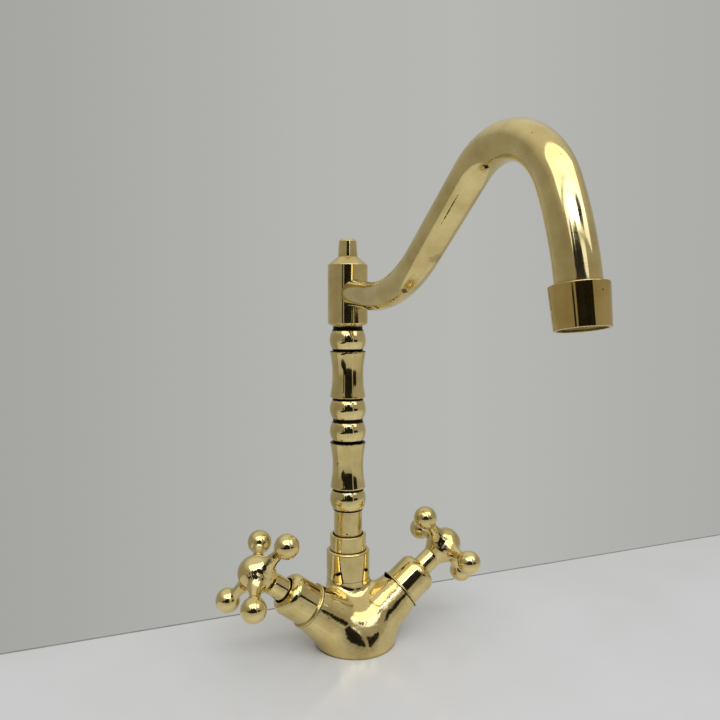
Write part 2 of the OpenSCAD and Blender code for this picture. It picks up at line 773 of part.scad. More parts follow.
module cross_handle(side, turn) {
    color(brass) on_arm(side) rotate(turn) difference() {
        union() {
            translate([0, 0, sleeve_foot_s]) cylinder(d = sleeve_d, h = ball_plane - sleeve_foot_s);
            translate([0, 0, hub_foot_s]) cylinder(d1 = sleeve_d, d2 = hub_d, h = hub_rim_s - hub_foot_s);
            translate([0, 0, hub_rim_s]) cylinder(d = hub_d, h = dome_s - dome_lap - hub_rim_s);
            translate([0, 0, dome_s]) sphere(d = dome_d);
            translate([0, 0, ball_plane]) for (i = [0:3]) rotate(i * 90) ball_arm();
        }
        translate([0, 0, sleeve_foot_s - 1])
            cylinder(d = spline_d + 2 * seat_fit, h = spline_end_s - sleeve_foot_s + 2);
        translate([0, 0, grub_s]) rotate([90, 0, -45]) cylinder(d = grub_d + 2 * seat_fit, h = sleeve_d);
    }
}

module grub_screw(side, turn) {
    tip = spline_d / 2 + seat_fit;
    recess = 0.8;
    color(steel) on_arm(side) rotate(turn) translate([0, 0, grub_s]) rotate([90, 0, -45])
        difference() {
            translate([0, 0, tip]) cylinder(d = grub_d, h = sleeve_d / 2 - recess - tip);
            translate([0, 0, sleeve_d / 2 - recess - 1.8]) cylinder(d = grub_d * 0.58, h = 4, $fn = 6);
        }
}

module hot_bonnet() { bonnet(hot_side); }
module hot_valve_body() { valve_body(hot_side); }
module hot_valve_gasket() { valve_gasket(hot_side); }
module hot_seat_seal() { seat_seal(hot_side); }
module hot_fixed_disc() { fixed_disc(hot_side); }
module hot_moving_disc() { moving_disc(hot_side); }
module hot_spindle() { spindle(hot_side); }
module hot_spindle_rings() { spindle_rings(hot_side); }
module hot_circlip() { circlip(hot_side); }
module hot_cross_handle() { cross_handle(hot_side, hot_turn); }
module hot_grub_screw() { grub_screw(hot_side, hot_turn); }
module cold_bonnet() { bonnet(cold_side); }
module cold_valve_body() { valve_body(cold_side); }
module cold_valve_gasket() { valve_gasket(cold_side); }
module cold_seat_seal() { seat_seal(cold_side); }
module cold_fixed_disc() { fixed_disc(cold_side); }
module cold_moving_disc() { moving_disc(cold_side); }
module cold_spindle() { spindle(cold_side); }
module cold_spindle_rings() { spindle_rings(cold_side); }
module cold_circlip() { circlip(cold_side); }
module cold_cross_handle() { cross_handle(cold_side, cold_turn); }
module cold_grub_screw() { grub_screw(cold_side, cold_turn); }

body_casting();
base_gasket();
swivel_socket();
swivel_washer();
packing_ring();
gland_nut();
riser_tube();
riser_o_ring();
lower_bead();
lower_spool();
middle_bead_low();
middle_bead_high();
upper_spool();
upper_bead();
spout_head();
finial_plug();
spout_tube();
outlet_socket();
aerator_washer();
aerator_screen();
aerator_core();
aerator_shell();
hot_bonnet();
hot_valve_body();
hot_valve_gasket();
hot_seat_seal();
hot_fixed_disc();
hot_moving_disc();
hot_spindle();
hot_spindle_rings();
hot_circlip();
hot_cross_handle();
hot_grub_screw();
cold_bonnet();
cold_valve_body();
cold_valve_gasket();
cold_seat_seal();
cold_fixed_disc();
cold_moving_disc();
cold_spindle();
cold_spindle_rings();
cold_circlip();
cold_cross_handle();
cold_grub_screw();
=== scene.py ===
import math

import bmesh
import bpy
import numpy as np
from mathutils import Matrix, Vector


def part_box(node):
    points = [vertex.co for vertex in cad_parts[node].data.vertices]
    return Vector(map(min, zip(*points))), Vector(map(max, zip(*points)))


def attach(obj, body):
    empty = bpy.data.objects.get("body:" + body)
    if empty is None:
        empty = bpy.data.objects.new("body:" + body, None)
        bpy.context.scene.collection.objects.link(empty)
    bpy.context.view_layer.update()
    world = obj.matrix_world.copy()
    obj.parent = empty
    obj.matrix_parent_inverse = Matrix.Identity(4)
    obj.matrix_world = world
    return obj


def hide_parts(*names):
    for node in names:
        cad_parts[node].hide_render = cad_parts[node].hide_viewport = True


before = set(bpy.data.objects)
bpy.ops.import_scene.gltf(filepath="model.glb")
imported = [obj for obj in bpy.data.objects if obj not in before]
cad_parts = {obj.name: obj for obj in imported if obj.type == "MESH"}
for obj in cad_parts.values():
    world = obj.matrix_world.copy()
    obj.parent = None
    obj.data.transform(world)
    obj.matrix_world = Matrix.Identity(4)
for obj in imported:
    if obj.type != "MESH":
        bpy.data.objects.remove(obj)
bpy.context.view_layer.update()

# The view
# The tap stands on the back ledge of a sink. It is seen from the front left, from about the
# height of its column, with an ordinary wide lens and no shift.
camera_turn, camera_dip = 23.62, 3.855
camera_data = bpy.data.cameras.new("camera")
camera_data.lens = 33.6
camera_data.sensor_width = 36
camera_data.clip_start = 0.01
camera = bpy.data.objects.new("camera", camera_data)
camera.location = (-0.1952, -0.4544, 0.24685)
camera.rotation_euler = (math.radians(90 - camera_dip), 0, math.radians(-camera_turn))
bpy.context.collection.objects.link(camera)
bpy.context.scene.camera = camera
bpy.context.scene.view_settings.view_transform = "Standard"


# The ledge
# A sink's back ledge in a pale composite with a soft gloss, which shows a faint reflection of
# the foot. It ends at the pale backdrop, in a thin grey joint a little askew to the tap.
def paint(hex_colour):
    """An sRGB hex colour as Blender's linear one."""
    srgb = [int(hex_colour[i:i + 2], 16) / 255 for i in (1, 3, 5)]
    return [c / 12.92 if c <= 0.04045 else ((c + 0.055) / 1.055) ** 2.4 for c in srgb] + [1]


def add(tree, kind, sockets=None, ramp=None, **settings):
    """Adds a node. Its sockets go by name, or by number where two share a name, and each takes
    a value, a socket or a node. A ramp's stops are hex colours or greys."""
    made = tree.nodes.new(kind)
    for name, value in settings.items():
        setattr(made, name, value)
    for name, value in (sockets or {}).items():
        if isinstance(value, bpy.types.Node):
            value = next(socket for socket in value.outputs if socket.enabled)
        if isinstance(value, bpy.types.NodeSocket):
            tree.links.new(value, made.inputs[name])
        else:
            made.inputs[name].default_value = value
    if ramp:
        stops = made.color_ramp.elements
        while len(stops) < len(ramp):
            stops.new(0.5)
        for stop, (position, colour) in zip(stops, ramp):
            stop.position = position
            stop.color = paint(colour) if isinstance(colour, str) else [colour] * 3 + [1]
    return made


def new_material(name):
    made = bpy.data.materials.new(name)
    made.use_nodes = True
    made.node_tree.nodes.clear()
    return made, made.node_tree


def finish_with(tree, shader):
    add(tree, "ShaderNodeOutputMaterial", {"Surface": shader})


def flat_piece(name, corners, material):
    mesh = bpy.data.meshes.new(name)
    mesh.from_pydata(corners, [], [list(range(len(corners)))])
    mesh.materials.append(material)
    made = bpy.data.objects.new(name, mesh)
    bpy.context.collection.objects.link(made)
    return made


mm = 0.001

# Quartz composite, honed: an even pale grey with a slight cloud, and a soft, blurred gloss.
ledge, tree = new_material("honed quartz composite")
place = add(tree, "ShaderNodeTexCoord").outputs["Object"]
cloud = add(tree, "ShaderNodeTexNoise",
            {"Vector": place, "Scale": 1 / (110 * mm), "Detail": 3.0})
tone = add(tree, "ShaderNodeValToRGB", {"Fac": cloud.outputs[0]},
           [(0.35, "#d9d9d6"), (0.65, "#dddddb")])
smear = add(tree, "ShaderNodeTexNoise",
            {"Vector": place, "Scale": 1 / (30 * mm), "Detail": 2.0})
gloss = add(tree, "ShaderNodeMapRange",
            {"Value": smear.outputs[0], "To Min": 0.16, "To Max": 0.24})
finish_with(tree, add(tree, "ShaderNodeBsdfPrincipled", {"Base Color": tone, "Roughness": gloss}))

# Silicone joint, smoothed by hand: a matt mid grey line.
silicone, tree = new_material("grey silicone joint")
place = add(tree, "ShaderNodeTexCoord").outputs["Object"]
grain = add(tree, "ShaderNodeTexNoise",
            {"Vector": place, "Scale": 1 / (12 * mm), "Detail": 2.0})
tone = add(tree, "ShaderNodeValToRGB", {"Fac": grain.outputs[0]},
           [(0.3, "#84837f"), (0.7, "#96958f")])
finish_with(tree, add(tree, "ShaderNodeBsdfPrincipled", {"Base Color": tone, "Roughness": 0.7}))

ledge_back, ledge_slant, ledge_half, joint_w = 0.0762, -0.0322, 2.5, 0.0024
back_line = [(x, ledge_back + ledge_slant * x, 0) for x in (ledge_half, -ledge_half)]
front_line = [(-ledge_half, -ledge_half, 0), (ledge_half, -ledge_half, 0)]
flat_piece("ledge", front_line + back_line, ledge)
flat_piece("ledge_joint", back_line[::-1] + [(x, y + joint_w, 0) for x, y, _ in back_line],
           silicone)

# The light
# A plain room with four soft boxes, in front of the tap and above it. Round it hang pieces of
# dark felt, which polished brass shows as the streaks and blots that make it look polished.
world = bpy.data.worlds.new("room")
bpy.context.scene.world = world
world.use_nodes = True
tree = world.node_tree
tree.nodes.clear()

# The walls' greys go round the room, and the ceiling above them is lighter.
towards = add(tree, "ShaderNodeTexCoord").outputs["Generated"]
direction = add(tree, "ShaderNodeSeparateXYZ", {0: towards})
round_room = add(tree, "ShaderNodeTexGradient", {"Vector": towards}, gradient_type="RADIAL")
walls = add(tree, "ShaderNodeValToRGB", {"Fac": round_room.outputs[1]}, [
    (0.0, "#97938c"), (0.1, "#99968f"), (0.184, "#9c9993"), (0.3, "#9f9c96"), (0.4, "#a39f99"),
    (0.52, "#a19e98"), (0.56, "#a6a6a2"), (0.606, "#acada9"), (0.66, "#b7b8b3"),
    (0.7, "#b3b4af"), (0.7625, "#a5a6a2"), (0.81, "#a3a3a0"), (0.85, "#9d9b96"),
    (1.0, "#97938c")])
raised = add(tree, "ShaderNodeMapRange",
             {"Value": direction.outputs["Z"], "From Min": 0.43, "From Max": 0.85})
around = add(tree, "ShaderNodeMix", {0: raised, 6: walls, 7: paint("#dadad9")},
             data_type="RGBA")
room_light = add(tree, "ShaderNodeBackground", {"Color": around.outputs[2], "Strength": 1.0})
add(tree, "ShaderNodeOutputWorld", {"Surface": room_light})


def in_room(right, rise, distance, centre=(0, -0.05, 0.2)):
    """A place in the room: degrees to the right of the camera as the tap sees it, and up."""
    turn, lift = math.radians(camera_turn - right), math.radians(rise)
    out = Vector((-math.sin(turn) * math.cos(lift), -math.cos(turn) * math.cos(lift),
                  math.sin(lift)))
    return Vector(centre) + distance * out


def soft_box(name, right, rise, distance, width, height, radiance, colour):
    data = bpy.data.lights.new(name, "AREA")
    data.shape = "RECTANGLE"
    data.size, data.size_y = width, height
    data.energy = radiance * math.pi * width * height
    data.color = paint(colour)[:3]
    made = bpy.data.objects.new(name, data)
    made.location = in_room(right, rise, distance)
    facing = in_room(0, 0, 0) - made.location
    made.rotation_euler = facing.to_track_quat("-Z", "Y").to_euler()
    bpy.context.collection.objects.link(made)


# Each box has its degrees to the right and up, its metres away, wide and high, and its strength.
soft_box("front_soft_box", 20, 40, 1.3, 2.2, 0.34, 1.75, "#d3ddff")
soft_box("front_tube", 12, 38, 1.25, 0.9, 0.13, 4.6, "#e4eaff")
soft_box("top_soft_box", 15, 62, 1.3, 2.4, 0.66, 1.25, "#fffdf8")
soft_box("low_soft_box", 11, 25, 1.3, 0.95, 0.28, 1.2, "#d9e2ff")

# Dark wool felt: it is out of the camera's sight and shows only in what is polished.
felt, tree = new_material("dark wool felt")
place = add(tree, "ShaderNodeTexCoord").outputs["Object"]
nap = add(tree, "ShaderNodeTexNoise", {"Vector": place, "Scale": 1 / (40 * mm), "Detail": 4.0})
tone = add(tree, "ShaderNodeValToRGB", {"Fac": nap.outputs[0]},
           [(0.35, "#0f0d0a"), (0.65, "#1d1a15")])
finish_with(tree, add(tree, "ShaderNodeBsdfPrincipled", {"Base Color": tone, "Roughness": 0.95}))

# Each felt hangs at a distance in metres from a part of the tap. Its corners are in degrees, as
# in_room takes them.
mid_column, spout_end = (0, 0, 0.17), (0, -0.2, 0.3)
for name, distance, centre, corners in (
        ("felt_figure", 1.0, mid_column,
         ((-22, -9.5), (32, -9.5), (32, 8), (28, 19), (19, 22), (15, 30), (7, 34), (-4, 32),
          (-8, 22), (-19, 18))),
        ("felt_bench", 0.9, mid_column,
         ((39, -8), (66, -7), (65, 4), (57, 6), (46, 5), (39, 9))),
        ("felt_post", 1.0, mid_column,
         ((-34, -9), (-27, -9), (-26, 12), (-32, 12))),
        ("felt_arm", 0.44, mid_column,
         ((-50, -13), (-36, -16), (-24, -14), (-13, -12), (-12, 1), (-24, -1), (-37, -6),
          (-50, -9))),
        ("felt_lamp", 1.1, spout_end,
         ((-27, 17), (-17, 16), (-15, 24), (-18, 33), (-25, 30))),
        ("felt_beam", 1.1, spout_end,
         ((-3, 22), (7, 24), (8, 38), (0, 39))),
        ("felt_shelf", 1.1, spout_end,
         ((29, 34), (45, 31), (56, 38), (48, 43), (33, 42)))):
    made = flat_piece(name, [in_room(*corner, distance, centre) for corner in corners], felt)
    made.visible_camera = made.visible_diffuse = made.visible_shadow = False

# The body
# One heavy brass casting: a foot like a low dome, two arms for the valves and a neck for the
# column, all run together, then polished by hand until the joins between them disappear.
foot_r, foot_dome_h, foot_under = 28.8, 32.0, 5.0
arm_slope, arm_cross, arm_face = math.radians(37.5), 5.5, 46.5
arm_root_r, arm_end_r = 24.5, 16.4
column_y, neck_top, neck_collar = 15.0, 45.6, 1
neck_r, neck_wide_r, neck_flare_r, neck_flare_h = 16.65, 25.65, 27.6, 24.0
body_melt, body_cell, body_low, body_high = 7.0, 1.0, (-56, -34, -6), (56, 46, 52)


def arm_frame(side, turn=0.0):
    """An arm's bench frame: the turn that leans it, and where it stands, in mm."""
    tilt = side * (math.pi / 2 - arm_slope)
    turned_by = math.radians(turn)
    lean = np.array([[math.cos(tilt), 0, math.sin(tilt)],
                     [0, 1, 0],
                     [-math.sin(tilt), 0, math.cos(tilt)]])
    spin = np.array([[math.cos(turned_by), -math.sin(turned_by), 0],
                     [math.sin(turned_by), math.cos(turned_by), 0],
                     [0, 0, 1]])
    return lean @ spin, np.array([0, 0, arm_cross])


def melt(a, b, reach):
    """Runs two shapes together, with a fillet about as wide as the reach."""
    near = np.clip(0.5 + 0.5 * (b - a) / reach, 0, 1)
    return b + (a - b) * near - reach * near * (1 - near)


def body_distance(p):
    """How far points in mm lie outside the casting."""
    rho = np.hypot(p[..., 0], p[..., 1])
    dome_in = (foot_dome_h ** 2 + 2 * foot_under * foot_dome_h - foot_r ** 2) / (2 * foot_r)
    dome = math.hypot(foot_r + dome_in, foot_under)
    shape = np.hypot(rho + dome_in, p[..., 2] + foot_under) - dome
    slope = (arm_root_r - arm_end_r) / arm_face
    for side in (-1, 1):
        lean, at = arm_frame(side)
        local = (p - at) @ lean
        along = np.maximum(local[..., 2], 0)
        wide = np.hypot(local[..., 0], local[..., 1])
        before = np.minimum(local[..., 2], 0)
        cone = (np.hypot(wide, before) - arm_root_r + slope * along) / math.hypot(1, slope)
        shape = melt(shape, cone, body_melt)
    drop = np.clip(neck_top - neck_collar - p[..., 2], 0, neck_flare_h)
    flare = neck_r + neck_flare_r - np.sqrt(neck_flare_r ** 2 - drop ** 2)
    wide = np.hypot(p[..., 0], p[..., 1] - column_y) - np.minimum(flare, neck_wide_r)
    neck = wide * np.sqrt(1 - (drop / neck_flare_r) ** 2)
    return melt(shape, np.maximum(neck, neck_top - neck_flare_h - p[..., 2]), body_melt)


def skin(distance, low, high, cell):
    """A surface laid where the distance is nought: one point in each cell that it crosses, drawn
    on to it, and one face for each grid line that goes through it."""
    passes, feel, flattest = 6, 0.05, 0.1
    axes = [np.arange(low[i], high[i] + cell, cell) for i in range(3)]
    inside = distance(np.stack(np.meshgrid(*axes, indexing="ij"), -1)) < 0
    last = [n - 1 for n in inside.shape]
    count = sum(inside[i:last[0] + i, j:last[1] + j, k:last[2] + k].astype(int)
                for i in (0, 1) for j in (0, 1) for k in (0, 1))
    crossed = (count > 0) & (count < 8)
    cells = np.argwhere(crossed)
    number = np.full(crossed.shape, -1)
    number[crossed] = np.arange(len(cells))
    points = np.array(low) + (cells + 0.5) * cell
    for _ in range(passes):
        steps = feel * np.eye(3)
        slope = np.stack([distance(points + step) - distance(points - step)
                          for step in steps], -1) / (2 * feel)
        size = np.maximum(np.sum(slope ** 2, -1), flattest)
        points = points - np.clip(distance(points) / size, -cell, cell)[:, None] * slope
    faces = []
    for axis in range(3):
        u, v = (axis + 1) % 3, (axis + 2) % 3
        for spot in np.argwhere(inside != np.roll(inside, -1, axis)):
            if spot[axis] >= last[axis] or spot[u] < 1 or spot[v] < 1:
                continue
            ring = []
            for du, dv in ((-1, -1), (0, -1), (0, 0), (-1, 0)):
                at = spot.copy()
                at[u] += du
                at[v] += dv
                ring.append(number[tuple(at)] if (at < number.shape).all() else -1)
            if min(ring) >= 0:
                faces.append(ring if inside[tuple(spot)] else ring[::-1])
    return points, faces


def cast_skin(name, distance, low, high, cell, cuts):
    """A casting's skin in mm, cut flat by planes that each have a point and a way out."""
    points, faces = skin(distance, low, high, cell)
    shape = bmesh.new()
    for point in points:
        shape.verts.new(point)
    shape.verts.ensure_lookup_table()
    for face in faces:
        shape.faces.new([shape.verts[i] for i in face])
    for point, away in cuts:
        whole = shape.verts[:] + shape.edges[:] + shape.faces[:]
        cut = bmesh.ops.bisect_plane(shape, geom=whole, plane_co=point, plane_no=away,
                                     clear_outer=True)["geom_cut"]
        bmesh.ops.edgeloop_fill(shape, edges=[e for e in cut if isinstance(e, bmesh.types.BMEdge)])
    bmesh.ops.recalc_face_normals(shape, faces=shape.faces)
    mesh = bpy.data.meshes.new(name)
    shape.to_mesh(mesh)
    shape.free()
    return mesh


def settle(name, mesh, material, body, nodes):
    made = bpy.data.objects.new(name, mesh)
    bpy.context.collection.objects.link(made)
    mesh.materials.clear()
    mesh.materials.append(material)
    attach(made, body)
    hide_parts(*nodes)
    return made


def drilled(made, holes):
    """Cuts holes, each with a centre, a direction, an outer and an inner radius and a depth, in
    mm. The drill starts 1 mm outside, and an inner radius leaves a core."""
    drill_edges, start = 64, -1
    cutter = bmesh.new()
    for centre, heading, outer, inner, depth in holes:
        turn = Vector(heading).to_track_quat("Z", "Y").to_matrix().to_4x4()
        turn.translation = Vector(centre) * mm
        core = [(inner, depth), (inner, start)] if inner else []
        rings = []
        for radius, level in [(outer, start), (outer, depth)] + core:
            corners = [(math.cos(a) * radius * mm, math.sin(a) * radius * mm, level * mm)
                       for a in np.linspace(0, 2 * math.pi, drill_edges, endpoint=False)]
            rings.append([cutter.verts.new(turn @ Vector(c)) for c in corners])
        for low, high in zip(rings, rings[1:] + rings[:1] if inner else rings[1:]):
            for i in range(drill_edges):
                cutter.faces.new([low[i - 1], low[i], high[i], high[i - 1]])
        if not inner:
            cutter.faces.new(rings[0][::-1])
            cutter.faces.new(rings[1])
    bmesh.ops.recalc_face_normals(cutter, faces=cutter.faces)
    mesh = bpy.data.meshes.new("cutter")
    cutter.to_mesh(mesh)
    cutter.free()
    tool = bpy.data.objects.new("cutter", mesh)
    bpy.context.collection.objects.link(tool)
    cut = made.modifiers.new("drilled", "BOOLEAN")
    cut.object, cut.solver = tool, "EXACT"
    bpy.context.view_layer.update()
    whole = made.data
    after = made.evaluated_get(bpy.context.evaluated_depsgraph_get())
    made.data = bpy.data.meshes.new_from_object(after)
    made.modifiers.clear()
    bpy.data.objects.remove(tool)
    bpy.data.meshes.remove(whole)
    bpy.data.meshes.remove(mesh)


def smooth(mesh, limit=35):
    mesh.polygons.foreach_set("use_smooth", [True] * len(mesh.polygons))
    mesh.set_sharp_from_angle(angle=math.radians(limit))


# Yellow brass without lacquer, polished on a mop: a pale greenish gold that goes amber where
# brass mirrors brass, with clouds of early tarnish, pits, black wax where it is asked for, and
# painted shade that darkens the narrow places nearly to black.
# The wheel leaves waves of so many mm and so deep, and fine marks, so many to a metre.
def polished_brass(name, bench, roughness, wave_w, wave_depth, marks, flaws=(), waxed=None,
                   tarnish=("#d7c181", "#ebd798")):
    """On the bench, a pattern goes by the place that keep_bench keeps. Each flaw is a centre, a
    radius, a strength, a stretch and a slope. Wax is left past a distance from a middle level."""
    made, tree = new_material(name)
    if bench:
        place = add(tree, "ShaderNodeAttribute", attribute_name="on_bench").outputs["Vector"]
    else:
        place = add(tree, "ShaderNodeTexCoord").outputs["Object"]
    cloud = add(tree, "ShaderNodeTexNoise",
                {"Vector": place, "Scale": 1 / (22 * mm), "Detail": 4.0, "Roughness": 0.6})
    tone = add(tree, "ShaderNodeValToRGB", {"Fac": cloud.outputs[0]},
               [(0.36, tarnish[0]), (0.6, tarnish[1])])
    pits = add(tree, "ShaderNodeTexVoronoi", {"Vector": place, "Scale": 1 / (6 * mm)})
    size = add(tree, "ShaderNodeTexNoise",
               {"Vector": place, "Scale": 1 / (9 * mm), "Detail": 1.0})
    edge = add(tree, "ShaderNodeMath", {0: size.outputs[0], 1: 0.15, 2: -0.035},
               operation="MULTIPLY_ADD")
    pit = add(tree, "ShaderNodeMath", {0: pits.outputs["Distance"], 1: edge},
              operation="LESS_THAN")
    # Painted shade: ambient occlusion within 4.5 mm darkens creases, grooves and recesses towards
    # the near-black below, and roughens them a little.
    crevice = add(tree, "ShaderNodeAmbientOcclusion", {"Distance": 4.5 * mm}, samples=8)
    painted_crevice_shade = add(tree, "ShaderNodeValToRGB", {"Fac": crevice.outputs["AO"]},
              [(0.45, 1.0), (0.68, 0.0)])
    dirt_and_painted_shade = add(tree, "ShaderNodeMath", {0: painted_crevice_shade, 1: pit}, operation="MAXIMUM")
    ragged = add(tree, "ShaderNodeTexNoise",
                 {"Vector": place, "Scale": 1 / (1.6 * mm), "Detail": 3.0})
    if waxed:
        middle, clean = waxed
        level = add(tree, "ShaderNodeSeparateXYZ", {0: place}).outputs["Z"]
        off = add(tree, "ShaderNodeMath", {0: level, 1: -middle * mm}, operation="ADD")
        off = add(tree, "ShaderNodeMath", {0: off}, operation="ABSOLUTE")
        worn = add(tree, "ShaderNodeMath", {0: ragged.outputs[0], 1: 1.0 * mm, 2: off},
                   operation="MULTIPLY_ADD")
        left = add(tree, "ShaderNodeMapRange",
                   {"Value": worn, "From Min": clean * mm, "From Max": (clean + 0.5) * mm})
        dirt_and_painted_shade = add(tree, "ShaderNodeMath", {0: dirt_and_painted_shade, 1: left}, operation="MAXIMUM")
    for centre, radius, strength, stretch, slope in flaws:
        away = add(tree, "ShaderNodeMapping",
                   {"Vector": place, "Location": Vector(centre) * mm,
                    "Rotation": (math.radians(slope), 0, 0), "Scale": (1, stretch, 1)},
                   vector_type="TEXTURE")
        away = add(tree, "ShaderNodeVectorMath", {0: away}, operation="LENGTH")
        torn = add(tree, "ShaderNodeMath",
                   {0: ragged.outputs[0], 1: 1.6 * radius * mm, 2: away.outputs["Value"]},
                   operation="MULTIPLY_ADD")
        spot = add(tree, "ShaderNodeMapRange",
                   {"Value": torn, "From Min": 1.5 * radius * mm, "From Max": 1.7 * radius * mm,
                    "To Min": strength, "To Max": 0.0})
        dirt_and_painted_shade = add(tree, "ShaderNodeMath", {0: dirt_and_painted_shade, 1: spot}, operation="MAXIMUM")
    # Stains, pits, wax and the painted shade in narrow places all pull the colour towards this
    # near-black.
    colour = add(tree, "ShaderNodeMix", {0: dirt_and_painted_shade, 6: tone, 7: paint("#1e160a")},
                 data_type="RGBA")
    dull = add(tree, "ShaderNodeTexNoise",
               {"Vector": place, "Scale": 1 / (5 * mm), "Detail": 5.0, "Roughness": 0.65})
    rough = add(tree, "ShaderNodeMapRange",
                {"Value": dull.outputs[0], "From Min": 0.3, "From Max": 0.7,
                 "To Min": roughness * 0.6, "To Max": roughness * 1.5})
    rough = add(tree, "ShaderNodeMath", {0: dirt_and_painted_shade, 1: 0.35, 2: rough},
                operation="MULTIPLY_ADD")
    wave = add(tree, "ShaderNodeTexNoise",
               {"Vector": place, "Scale": 1 / (wave_w * mm), "Detail": 4.5})
    surface = add(tree, "ShaderNodeBump",
                  {"Height": wave.outputs[0], "Strength": 1.0, "Distance": wave_depth * mm})
    drawn = add(tree, "ShaderNodeMapping", {"Vector": place, "Scale": marks})
    scratch = add(tree, "ShaderNodeTexNoise", {"Vector": drawn, "Scale": 1.0, "Detail": 2.0})
    surface = add(tree, "ShaderNodeBump",
                  {"Height": scratch.outputs[0], "Strength": 1.0, "Distance": 0.002 * mm,
                   "Normal": surface})
    finish_with(tree, add(tree, "ShaderNodeBsdfPrincipled", {
        "Base Color": colour.outputs[2], "Metallic": 1.0, "Roughness": rough,
        "Normal": surface}))
    return made


# Cast brass, filed and mopped by hand: waves about 9 mm wide, which tear its reflections.
cast_brass = polished_brass("mop polished cast brass", False, 0.085, 9, 0.34, (500, 500, 500))
cuts = [((0, 0, 0), (0, 0, -1)), ((0, 0, neck_top), (0, 0, 1))]
for side in (-1, 1):
    lean, at = arm_frame(side)
    cuts.append((tuple(at + lean[:, 2] * arm_face), tuple(lean[:, 2])))
mesh = cast_skin("body_mesh", body_distance, body_low, body_high, body_cell, cuts)
mesh.vertices.foreach_set("co", (np.array([v.co[:] for v in mesh.vertices]) * mm).ravel())
made = settle("body", mesh, cast_brass, "mixer_body", ["body_casting"])

# The underside holds the gasket's groove, the stud's thread and the two hose threads.
gasket_in, gasket_out, gasket_t = 22, 25.5, 2
stud_y, stud_r = 10.5, 3.4
hose_x, hose_y, hose_r, thread_h = 7.75, -6, 4.5, 11
inward = (0, 0, 1)
drilled(made, [((0, 0, 0), inward, gasket_out, gasket_in, gasket_t),
               ((0, stud_y, 0), inward, stud_r, 0, thread_h),
               ((-hose_x, hose_y, 0), inward, hose_r, 0, thread_h),
               ((hose_x, hose_y, 0), inward, hose_r, 0, thread_h)])
smooth(made.data)


# The swivel joint
# A socket screwed on the neck holds the riser's flange, and the gland nut above it presses the
# packing. Both are turned and polished, and a dark ring shows where the riser leaves the nut,
# deepened by painted shade in the corner.
def keep_bench(mesh, lean, at):
    """Keeps each point's place on the maker's bench, which the material goes by."""
    bench = (np.array([v.co[:] for v in mesh.vertices]) / mm - at) @ lean
    kept = mesh.attributes.get("on_bench")
    kept = kept or mesh.attributes.new("on_bench", "FLOAT_VECTOR", "POINT")
    kept.data.foreach_set("vector", (bench * mm).ravel())


def seat_mesh(mesh, lean, at):
    """Moves a mesh, made in mm, from the bench to its place in the tap."""
    bench = np.array([v.co[:] for v in mesh.vertices])
    mesh.vertices.foreach_set("co", ((bench @ lean.T + at) * mm).ravel())
    mesh.update()
    keep_bench(mesh, lean, at)


def column_frame(level=0.0):
    return np.eye(3), np.array([0, column_y, level])


def outline(corners):
    """Each corner is a radius, a height and, where it is rounded, the rounding, all in mm, and the
    walk round them is anticlockwise. It gives the points of the outline with their normals."""
    rounding_step, soft_turn = 15, 25
    walked = []
    for i, corner in enumerate(corners):
        here, before, after = (np.array(corners[j % len(corners)][:2], float)
                               for j in (i, i - 1, i + 1))
        came = (here - before) / np.linalg.norm(here - before)
        goes = (after - here) / np.linalg.norm(after - here)
        turn = math.atan2(came[0] * goes[1] - came[1] * goes[0], came @ goes)
        faced, faces_next = np.array([came[1], -came[0]]), np.array([goes[1], -goes[0]])
        if len(corner) > 2:
            rounding = corner[2]
            hollow = math.copysign(1, turn)
            middle = here - came * rounding * math.tan(abs(turn) / 2) - hollow * faced * rounding
            steps = max(2, math.ceil(abs(math.degrees(turn)) / rounding_step))
            for k in range(steps + 1):
                a = turn * k / steps
                normal = np.array([faced[0] * math.cos(a) - faced[1] * math.sin(a),
                                   faced[0] * math.sin(a) + faced[1] * math.cos(a)])
                walked.append((middle + hollow * normal * rounding, normal))
        elif abs(turn) < math.radians(soft_turn):
            walked.append((here, (faced + faces_next) / np.linalg.norm(faced + faces_next)))
        else:
            walked += [(here, faced), (here, faces_next)]
    return walked


def turned(name, corners, lean, at):
    """Turns an outline round the bench's upright axis."""
    facets, hair = 112, 1e-6
    walked = outline(corners)
    points, normals, rings, faces = [], [], [], []
    for (r, h), (out, up) in walked:
        wide = r >= hair
        angles = [2 * math.pi * i / facets for i in range(facets if wide else 1)]
        rings.append([len(points) + (i if wide else 0) for i in range(facets)])
        points += [(r * math.cos(a), r * math.sin(a), h) for a in angles]
        normals += [(out * math.cos(a), out * math.sin(a), up) for a in angles]
    for j, low in enumerate(rings):
        k = (j + 1) % len(rings)
        high = rings[k]
        both_on_axis = low[0] == low[1] and high[0] == high[1]
        if both_on_axis or np.linalg.norm(walked[j][0] - walked[k][0]) < hair:
            continue
        for i in range(facets):
            n = (i + 1) % facets
            faces.append(list(dict.fromkeys((low[i], low[n], high[n], high[i]))))
    mesh = bpy.data.meshes.new(name)
    mesh.from_pydata(points, [], faces)
    seat_mesh(mesh, lean, at)
    mesh.polygons.foreach_set("use_smooth", [True] * len(faces))
    mesh.normals_split_custom_set_from_vertices((np.array(normals) @ lean.T).tolist())
    return mesh


def turn_piece(name, corners, lean_at, material, body, nodes):
    return settle(name, turned(name, corners, *lean_at), material, body, nodes)


# Turned brass, mopped while it spins: almost true, with long fine marks round the piece. They
# lie 0.4 mm apart, coarser than real ones, so that they show.
def lathe_brass(name, **more):
    return polished_brass(name, True, 0.07, 30, 0.03, (80, 80, 2500), **more)


turned_brass = lathe_brass("mop polished turned brass")

